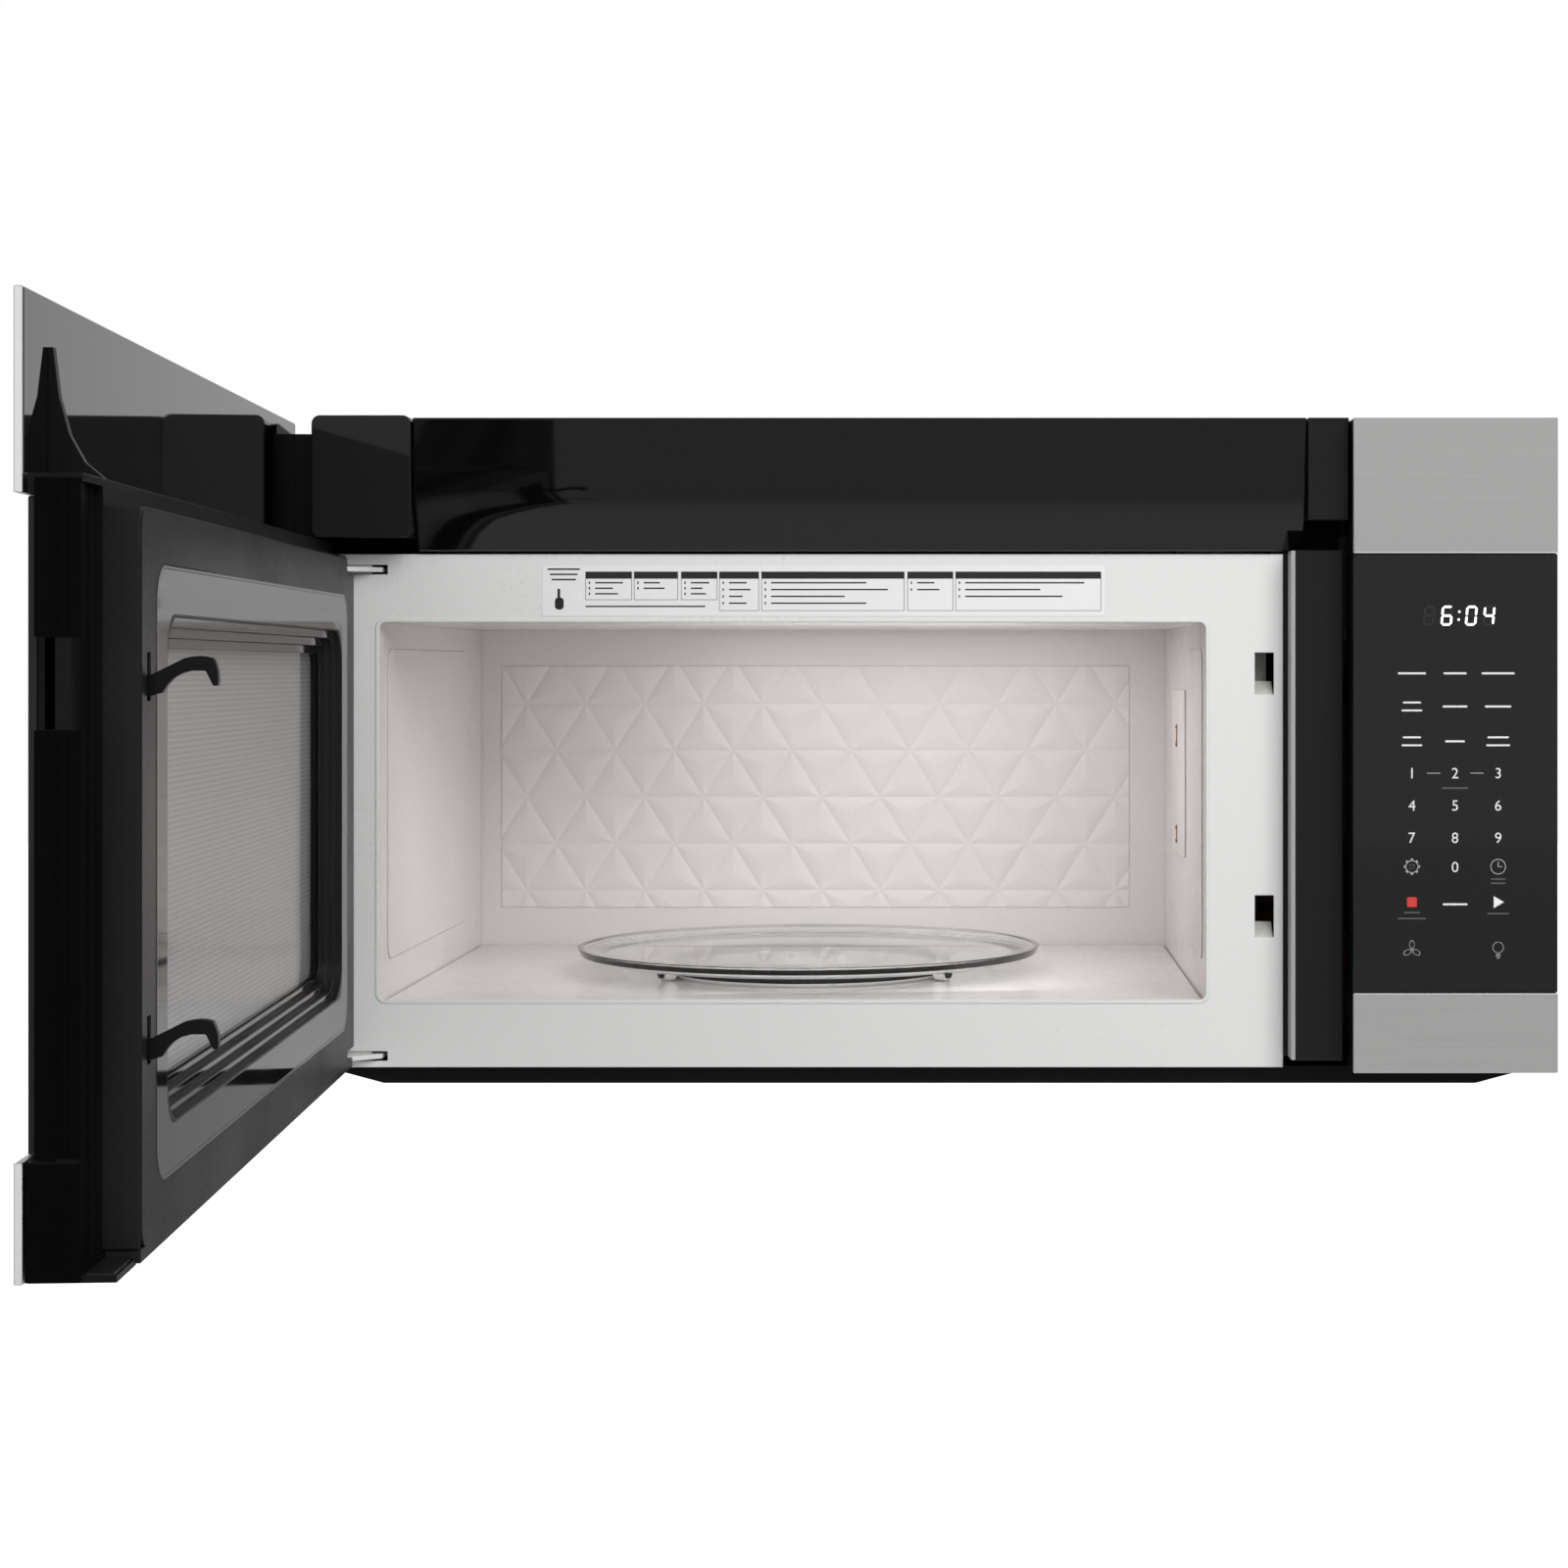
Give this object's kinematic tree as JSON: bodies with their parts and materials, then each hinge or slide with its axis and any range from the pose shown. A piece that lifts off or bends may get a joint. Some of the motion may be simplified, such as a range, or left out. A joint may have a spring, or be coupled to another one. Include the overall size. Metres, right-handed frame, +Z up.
{
  "type": "over-the-range microwave oven",
  "caption": "Over-the-range microwave oven with a hinged door, sprung latch, glass turntable on a roller ring, hood blower, grease filters and cooktop lamps.",
  "frame": {"origin": "middle of the casing's width on its flat back, at half the height of the stainless-edged front", "axes": "+X to the right of someone facing the front, +Y out of the back towards the wall, +Z up"},
  "size_m": [0.7747, 1.0292, 0.4179],
  "materials": {
    "stainless": "finely brushed, satin",
    "black_plastic": "moulded, satin",
    "gloss_black": "polished",
    "black_glass": "polished, backed in black",
    "clear_glass": "polished",
    "white_paint": "semi-gloss enamel",
    "cavity_paint": "semi-gloss enamel",
    "black_paint": "satin",
    "screen_steel": "perforated, satin",
    "galvanised_steel": "galvanised, dull",
    "aluminium": "plain",
    "copper": "varnished",
    "mica": "dull sheet",
    "white_plastic": "moulded",
    "board": "lacquered",
    "carbon": "granular",
    "frosted": "frosted"
  },
  "bodies": {
    "case": {"case_top": "galvanised_steel", "case_left_side": "black_paint", "case_right_side": "black_paint", "back_panel": "galvanised_steel", "base_pan": "black_paint", "front_frame": "white_paint", "header_panel": "gloss_black", "header_end_cap": "gloss_black", "bay_frame": "black_plastic", "cord_bushing": "black_plastic", "cavity_left_wall": "cavity_paint", "cavity_right_wall": "cavity_paint", "cavity_ceiling": "cavity_paint", "cavity_floor": "cavity_paint", "cavity_back_wall": "cavity_paint", "waveguide_cover": "mica", "cavity_lamp": "frosted", "control_top_band": "stainless", "control_glass": "black_glass", "control_bottom_band": "stainless", "control_housing": "black_plastic", "control_board": "board", "turntable_motor": "galvanised_steel", "hinge_arm_upper": "white_paint", "hinge_arm_lower": "white_paint", "interlock_bracket": "white_plastic", "interlock_switch_upper": "black_plastic", "interlock_switch_lower": "black_plastic", "waveguide": "galvanised_steel", "magnetron": "aluminium", "hv_transformer": "copper", "hv_capacitor": "aluminium", "blower_housing": "galvanised_steel", "blower_motor": "galvanised_steel", "charcoal_filter": "carbon", "cooling_fan_shroud": "black_plastic", "cooktop_lamp_left": "frosted", "cooktop_lamp_right": "frosted"},
    "door": {"door_frame": "black_plastic", "door_top_band": "stainless", "door_glass": "black_glass", "door_bottom_band": "stainless", "door_screen": "screen_steel", "inner_window": "clear_glass", "choke_cover": "gloss_black", "latch_spring": "galvanised_steel"},
    "latch": {"door_latch": "black_plastic"},
    "coupler": {"turntable_coupler": "white_plastic"},
    "tray": {"glass_tray": "clear_glass"},
    "ring": {"roller_ring": "black_plastic"},
    "wheel_1": {"roller_1": "white_plastic"},
    "wheel_2": {"roller_2": "white_plastic"},
    "wheel_3": {"roller_3": "white_plastic"},
    "blower": {"blower_rotor": "black_plastic"},
    "fan": {"cooling_fan_wheel": "white_plastic"},
    "filter_left": {"grease_filter_left": "aluminium"},
    "filter_right": {"grease_filter_right": "aluminium"},
    "cover_left": {"lamp_cover_left": "frosted"},
    "cover_right": {"lamp_cover_right": "frosted"},
    "lever": {"interlock_lever": "white_plastic"}
  },
  "joints": [
    {"name": "door_swing", "type": "hinge", "parent": "case", "child": "door", "pos_m": [-0.3658, -0.4074, 0], "axis": [0, 0, -1], "range_deg": [-86.2, 3.8]},
    {"name": "latch_lift", "type": "slide", "parent": "door", "child": "latch", "axis": [0, 0, 1], "range_m": [0, 0.0045], "stiffness_N_per_m": 250, "springref_m": -0.003, "deforming": ["latch_spring"]},
    {"name": "coupler_spin", "type": "hinge", "parent": "case", "child": "coupler", "pos_m": [-0.08465, -0.208, 0], "axis": [0, 0, 1], "continuous": true},
    {"name": "tray_lift", "type": "slide", "parent": "coupler", "child": "tray", "axis": [0, 0, 1], "range_m": [0, 0.06]},
    {"name": "ring_spin", "type": "hinge", "parent": "case", "child": "ring", "pos_m": [-0.08465, -0.208, 0], "axis": [0, 0, 1], "continuous": true},
    {"name": "roller_1_spin", "type": "hinge", "parent": "ring", "child": "wheel_1", "pos_m": [-0.08465, -0.208, -0.1487], "axis": [0, 1, 0], "continuous": true},
    {"name": "roller_2_spin", "type": "hinge", "parent": "ring", "child": "wheel_2", "pos_m": [-0.08465, -0.208, -0.1487], "axis": [-0.866, -0.5, 0], "continuous": true},
    {"name": "roller_3_spin", "type": "hinge", "parent": "ring", "child": "wheel_3", "pos_m": [-0.08465, -0.208, -0.1487], "axis": [0.866, -0.5, 0], "continuous": true},
    {"name": "blower_spin", "type": "hinge", "parent": "case", "child": "blower", "pos_m": [-0.02, -0.096, 0.146], "axis": [1, 0, 0], "continuous": true},
    {"name": "fan_spin", "type": "hinge", "parent": "case", "child": "fan", "pos_m": [0.295, -0.04, 0.085], "axis": [0, 1, 0], "continuous": true},
    {"name": "filter_left_drop", "type": "slide", "parent": "case", "child": "filter_left", "axis": [0, 0, -1], "range_m": [0, 0.04]},
    {"name": "filter_right_drop", "type": "slide", "parent": "case", "child": "filter_right", "axis": [0, 0, -1], "range_m": [0, 0.04]},
    {"name": "lamp_cover_left_open", "type": "hinge", "parent": "case", "child": "cover_left", "pos_m": [-0.05, -0.0761, -0.202], "axis": [1, 0, 0], "range_deg": [0, 90]},
    {"name": "lamp_cover_right_open", "type": "hinge", "parent": "case", "child": "cover_right", "pos_m": [0.05, -0.0761, -0.202], "axis": [1, 0, 0], "range_deg": [0, 90]},
    {"name": "lever_press", "type": "hinge", "parent": "case", "child": "lever", "pos_m": [0.207, -0.3616, 0.071], "axis": [1, 0, 0], "range_deg": [0, 6], "stiffness_Nm_per_rad": 0.02, "springref_deg": -5.73}
  ],
  "couplings": [
    {"joint": "ring_spin", "follows": "coupler_spin", "ratio": 0.5},
    {"joint": "roller_1_spin", "follows": "coupler_spin", "ratio": -10.5},
    {"joint": "roller_2_spin", "follows": "coupler_spin", "ratio": -10.5},
    {"joint": "roller_3_spin", "follows": "coupler_spin", "ratio": -10.5}
  ]
}
